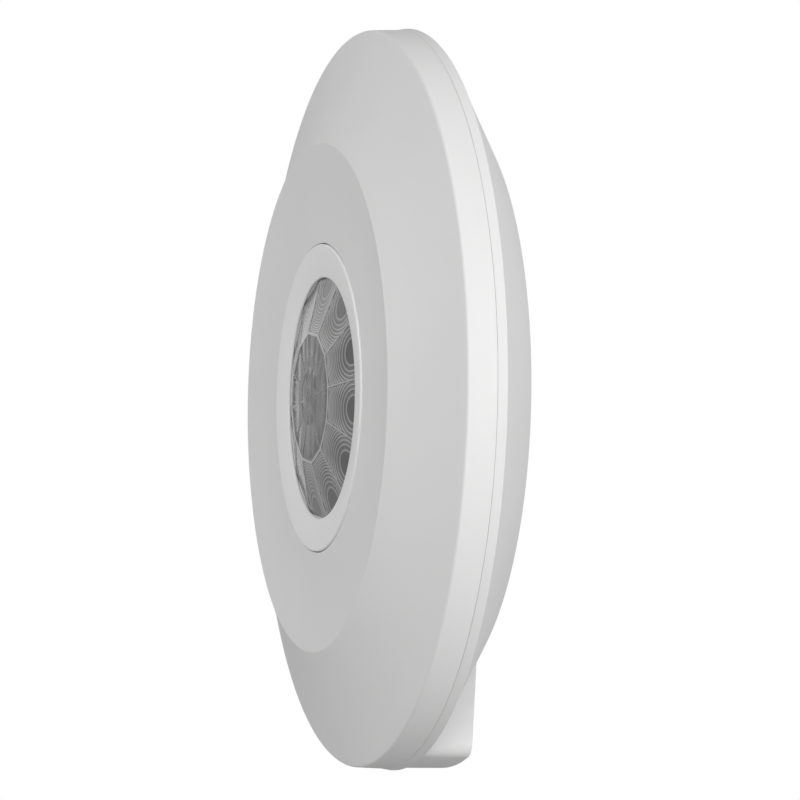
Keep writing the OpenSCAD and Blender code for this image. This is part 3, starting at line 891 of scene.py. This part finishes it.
def circuit_board():
    """Green mask over copper tracks, with tinned pads and a woven edge to the laminate."""
    look = Look("circuit_board")
    cells = look.node("ShaderNodeTexVoronoi", Scale=0.24, feature="DISTANCE_TO_EDGE")
    look.link(look.space, cells.inputs["Vector"])
    track = look.math("LESS_THAN", cells.outputs["Distance"], 0.12)
    dots = look.node("ShaderNodeTexVoronoi", Scale=0.35)
    look.link(look.space, dots.inputs["Vector"])
    pad = look.math("LESS_THAN", dots.outputs["Distance"], 0.16)
    weave = look.math("MULTIPLY", waves(look, along(look, "X"), 0.5), waves(look, along(look, "Z"), 0.5))
    mask = look.mix(track, (0.012, 0.09, 0.045), (0.02, 0.16, 0.07))
    look.set(Base_Color=look.mix(pad, mask, (0.6, 0.6, 0.58)), Metallic=pad,
             Roughness=look.ramp(look.noise(2.0), 0.3, 0.7, 0.22, 0.36),
             Normal=look.bump(track, 0.03, look.bump(weave, 0.01)),
             Coat_Weight=0.3, Coat_Roughness=0.2)
    return look.material


def winding(name, colour, axis, low, high, pitch, core):
    """Enamelled wire between two stations along an axis, and the plain former outside them."""
    look = Look(name)
    place = along(look, axis)
    wire = inside(look, place, low, high)
    ripple = waves(look, place, pitch)
    tone = look.noise(1.2, detail=4)
    copper = look.mix(look.ramp(tone, 0.3, 0.7), colour, tuple(c * 0.7 for c in colour))
    look.set(Base_Color=look.mix(wire, core, copper), Metallic=look.math("MULTIPLY", wire, 0.7),
             Roughness=look.ramp(tone, 0.3, 0.7, 0.25, 0.4),
             Normal=look.bump(look.math("MULTIPLY", ripple, wire), 0.12))
    return look.material


def capacitor_sleeve():
    """Dark shrink sleeve with a paler stripe, over an aluminium can that shows at its end."""
    look = Look("capacitor_sleeve")
    low, high = (corner.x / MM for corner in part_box("smoothing_capacitor"))
    at = middle("smoothing_capacitor")
    stripe = inside(look, along(look, "Y", at.y), 0.4, 1.9)
    metal_end = look.math("GREATER_THAN", along(look, "X"), high - 0.25)
    dash = look.math("GREATER_THAN", waves(look, along(look, "X", low), 2.6), 0.45)
    pale = look.math("MULTIPLY", stripe, dash)
    sleeve = look.mix(pale, (0.01, 0.015, 0.06), (0.3, 0.34, 0.42))
    look.set(Base_Color=look.mix(metal_end, sleeve, (0.7, 0.7, 0.72)), Metallic=metal_end,
             Roughness=look.ramp(look.noise(1.5), 0.3, 0.7, 0.25, 0.38),
             Normal=look.bump(look.noise(4, stretch=(1, 6, 6)), 0.01))
    return look.material


def chip_ceramic():
    """Fired ceramic chips: sandy body with a speckle and silvery wear."""
    look = Look("chip_ceramic")
    speckle = look.noise(9.0, detail=4, roughness=0.7)
    plating = look.math("GREATER_THAN", look.noise(0.9, detail=0), 0.56)
    body = look.mix(look.ramp(speckle, 0.35, 0.65), (0.36, 0.25, 0.15), (0.5, 0.38, 0.25))
    look.set(Base_Color=look.mix(plating, body, (0.7, 0.7, 0.68)), Metallic=plating,
             Roughness=look.ramp(speckle, 0.3, 0.7, 0.3, 0.5), Normal=look.bump(speckle, 0.01))
    return look.material


def resistor_grey():
    """Flameproof coating with bare colour bands."""
    look = Look("resistor_grey")
    at = along(look, "Z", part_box("fuse_resistor")[0].z / MM)
    grain = look.noise(5.0, detail=4)
    colour = look.mix(look.ramp(grain, 0.3, 0.7), (0.10, 0.13, 0.13), (0.14, 0.17, 0.17))
    for low, band in ((2.4, (0.35, 0.2, 0.02)), (3.4, (0.01, 0.01, 0.01)), (4.4, (0.3, 0.02, 0.01))):
        colour = look.mix(inside(look, at, low, low + 0.5), colour, band)
    look.set(Base_Color=colour, Roughness=look.ramp(grain, 0.3, 0.7, 0.5, 0.7),
             Normal=look.bump(grain, 0.02))
    return look.material


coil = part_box("relay_coil")
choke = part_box("choke")
COIL_SPAN = (coil[0].x / MM + 0.7, coil[1].x / MM - 0.7)
CHOKE_SPAN = (choke[0].y / MM + 0.9, choke[1].y / MM - 0.9)
LOOKS = {
    "inner_plastic": moulded("inner_plastic", (0.72, 0.72, 0.70), 0.45),
    "screw_steel": metal("screw_steel", (0.72, 0.73, 0.76), 0.3, per_mm=9),
    "terminal_steel": metal("terminal_steel", (0.76, 0.76, 0.78), 0.28, stretch=(1, 8, 1)),
    "circuit_board": circuit_board(),
    "sensor_metal": metal("sensor_metal", (0.75, 0.72, 0.62), 0.25, stretch=(1, 1, 5)),
    "sensor_window": moulded("sensor_window", (0.02, 0.018, 0.02), 0.12, sheen=0.6),
    "clear_plastic": moulded("clear_plastic", (0.8, 0.78, 0.7), 0.15, sheen=0.8),
    "led_plastic": moulded("led_plastic", (0.6, 0.03, 0.02), 0.2, sheen=0.8),
    "chip_black": moulded("chip_black", (0.02, 0.02, 0.022), 0.5, vary=0.2),
    "chip_ceramic": chip_ceramic(),
    "relay_black": moulded("relay_black", (0.02, 0.02, 0.022), 0.45, vary=0.2),
    "relay_blue": moulded("relay_blue", (0.015, 0.07, 0.35), 0.35, vary=0.08, sheen=0.3),
    "coil_copper": winding("coil_copper", (0.75, 0.3, 0.1), "X", *COIL_SPAN, 0.35, (0.7, 0.68, 0.6)),
    "relay_iron": metal("relay_iron", (0.6, 0.6, 0.6), 0.35, stretch=(6, 1, 1)),
    "contact_brass": metal("contact_brass", (0.82, 0.6, 0.26), 0.25, stretch=(1, 7, 1)),
    "capacitor_yellow": moulded("capacitor_yellow", (0.75, 0.48, 0.03), 0.35, vary=0.06, sheen=0.3),
    "capacitor_sleeve": capacitor_sleeve(),
    "varistor_blue": moulded("varistor_blue", (0.015, 0.08, 0.42), 0.25, grain_mm=0.6,
                             depth_mm=0.03, vary=0.1, sheen=0.6),
    "resistor_grey": resistor_grey(),
    "choke_ferrite": winding("choke_ferrite", (0.6, 0.2, 0.05), "Y", *CHOKE_SPAN, 0.4,
                             (0.03, 0.025, 0.025)),
    "trimmer_body": moulded("trimmer_body", (0.03, 0.09, 0.35), 0.4, vary=0.08),
    "knob_plastic": moulded("knob_plastic", (0.8, 0.2, 0.02), 0.35, grain_mm=0.4, vary=0.06, sheen=0.2),
    "terminal_plastic": moulded("terminal_plastic", (0.05, 0.05, 0.055), 0.5, grain_mm=0.3,
                                depth_mm=0.012, vary=0.15),
    "grommet_rubber": moulded("grommet_rubber", (0.02, 0.02, 0.02), 0.7, grain_mm=0.5,
                              depth_mm=0.02, vary=0.25),
}
EDGE_MM = {"terminal_block": 0.3, "cable_clamp": 0.25, "cable_grommet": 0.3, "relay_case": 0.3,
           "terminal_cages": 0.12, "contact_blades": 0.15, "socket_contacts": 0.12,
           "time_knob": 0.15, "lux_knob": 0.15, "range_knob": 0.15}


def dress(obj, node, look):
    """Gives a carried-over node its material and rounded edges. Its mesh stays as imported."""
    for holder in obj.material_slots:
        holder.material = look
    for polygon in obj.data.polygons:
        polygon.use_smooth = True
    weld = obj.modifiers.new("weld", "WELD")
    weld.merge_threshold = 0.001 * MM
    edges = obj.modifiers.new("edges", "BEVEL")
    edges.width = EDGE_MM.get(node, 0.08) * MM
    edges.segments = 2
    edges.limit_method = "ANGLE"
    edges.angle_limit = math.radians(40)
    edges.harden_normals = True


for row in frame["record"]["subparts"]:
    if not frame["nodes"][row["node"]].hide_render:
        dress(frame["nodes"][row["node"]], row["node"], LOOKS[row["material_slot"]])


# ---------------------------------------------------------------- stage, lights and camera
def build_floor():
    """A light grey floor that fades into the white surroundings."""
    bpy.ops.mesh.primitive_circle_add(vertices=96, radius=1.6, fill_type="NGON",
                                      location=(0, 0, -0.16))
    floor = bpy.context.object
    floor.name = "floor"
    look = Look("floor")
    look.set(Base_Color=grey(0.6), Roughness=0.6)
    distance = look.node("ShaderNodeVectorMath", operation="LENGTH")
    look.link(look.space, distance.inputs[0])
    clear = look.node("ShaderNodeBsdfTransparent")
    blend = look.node("ShaderNodeMixShader")
    look.link(look.ramp(distance.outputs["Value"], 250, 1100), blend.inputs[0])
    look.link(look.shader.outputs[0], blend.inputs[1])
    look.link(clear.outputs[0], blend.inputs[2])
    look.link(blend.outputs[0], look.tree.nodes["Material Output"].inputs["Surface"])
    floor.data.materials.append(look.material)


def build_world():
    """White to the camera, a paler grey in reflections and a dim grey as a light."""
    world = bpy.data.worlds.new("studio")
    bpy.context.scene.world = world
    world.use_nodes = True
    tree = world.node_tree
    tree.nodes.clear()
    seen = tree.nodes.new("ShaderNodeBackground")
    seen.inputs["Color"].default_value = (1, 1, 1, 1)
    lit = tree.nodes.new("ShaderNodeBackground")
    lit.inputs["Color"].default_value = (1, 1, 1, 1)
    path = tree.nodes.new("ShaderNodeLightPath")
    strength = tree.nodes.new("ShaderNodeMapRange")
    strength.inputs["To Min"].default_value = AMBIENT
    strength.inputs["To Max"].default_value = MIRRORED
    tree.links.new(path.outputs["Is Glossy Ray"], strength.inputs["Value"])
    tree.links.new(strength.outputs["Result"], lit.inputs["Strength"])
    mix = tree.nodes.new("ShaderNodeMixShader")
    out = tree.nodes.new("ShaderNodeOutputWorld")
    tree.links.new(path.outputs["Is Camera Ray"], mix.inputs[0])
    tree.links.new(lit.outputs[0], mix.inputs[1])
    tree.links.new(seen.outputs[0], mix.inputs[2])
    tree.links.new(mix.outputs[0], out.inputs[0])


def softbox(name, azimuth, elevation, watts, size=0.6, distance=1.3, target=(0, 0, 0), use="all"):
    a, e = math.radians(azimuth), math.radians(elevation)
    back = Vector((math.sin(a) * math.cos(e), -math.cos(a) * math.cos(e), math.sin(e)))
    data = bpy.data.lights.new(name, "AREA")
    data.shape = "DISK"
    data.size = size
    data.energy = watts
    lamp = bpy.data.objects.new(name, data)
    lamp.location = Vector(target) + back * distance
    lamp.rotation_mode = "QUATERNION"
    lamp.rotation_quaternion = back.to_track_quat("Z", "Y")
    bpy.context.scene.collection.objects.link(lamp)
    lamp.visible_camera = False
    lamp.visible_glossy = use != "diffuse"
    lamp.visible_diffuse = use != "mirrored"
    return lamp


AMBIENT = 0.004           # the surroundings as a light
MIRRORED = 0.37           # the surroundings in reflections
# name, azimuth, elevation, watts
LIGHTS = (
    ("key", 60, 0, 5.7),
    ("rear_key", 110, 3, 4.6),
    ("rim_key", 140, 6, 4.4),
    ("top", 75, 90, 2.45),
    ("high_front", 30, 35, 2.35),
    ("high_side", 80, 35, 2.9))
# these light the face without showing in the lens
FACE_LIGHTS = (
    ("face_high", -20, 35, 2.1),
    ("face_left", -45, 0, 1.6),
    ("face_low", -20, 0, 1.35),
    ("back_fill", 205, 25, 2.5),
    ("back_left", -130, 10, 1.5))
# small cards that only show as soft reflections in the lens and the ring
CARDS = (
    ("card_right", -57, 15, 0.075),
    ("card_top", -72, 30, 0.04),
    ("card_high", -72, 14, 0.075),
    ("card_low", -73, 4, 0.045),
    ("card_middle", -59, 4, 0.08),
    ("card_left", -87, 6, 0.08),
    ("card_far_left", -100, 6, 0.1))


def build_camera():
    """The photograph's long lens, seen from the sensor's side and a little below it."""
    azimuth, elevation, roll = (math.radians(v) for v in (73.308, -5.057, -0.3035))
    distance = 0.97653
    target = Vector((0, -0.00786, 0))
    back = Vector((math.sin(azimuth) * math.cos(elevation),
                   -math.cos(azimuth) * math.cos(elevation), math.sin(elevation)))
    right = (-back).cross(Vector((0, 0, 1))).normalized()
    up = right.cross(-back)
    turned_right = right * math.cos(roll) + up * math.sin(roll)
    turned_up = up * math.cos(roll) - right * math.sin(roll)
    data = bpy.data.cameras.new("camera")
    data.sensor_width = 36
    data.lens = 280.55
    data.shift_x, data.shift_y = 0.0042, -0.0007
    data.clip_start, data.clip_end = 0.05, 20
    camera = bpy.data.objects.new("camera", data)
    bpy.context.scene.collection.objects.link(camera)
    camera.rotation_mode = "QUATERNION"
    axes = Matrix((turned_right, turned_up, back)).transposed()
    camera.rotation_quaternion = axes.to_quaternion()
    camera.location = target + back * distance
    bpy.context.scene.camera = camera


build_floor()
build_world()
for light in LIGHTS:
    softbox(*light)
for light in FACE_LIGHTS:
    softbox(*light, use="diffuse")
for card in CARDS:
    softbox(*card, size=0.28, use="mirrored")
build_camera()
bpy.context.scene.view_settings.view_transform = "Standard"
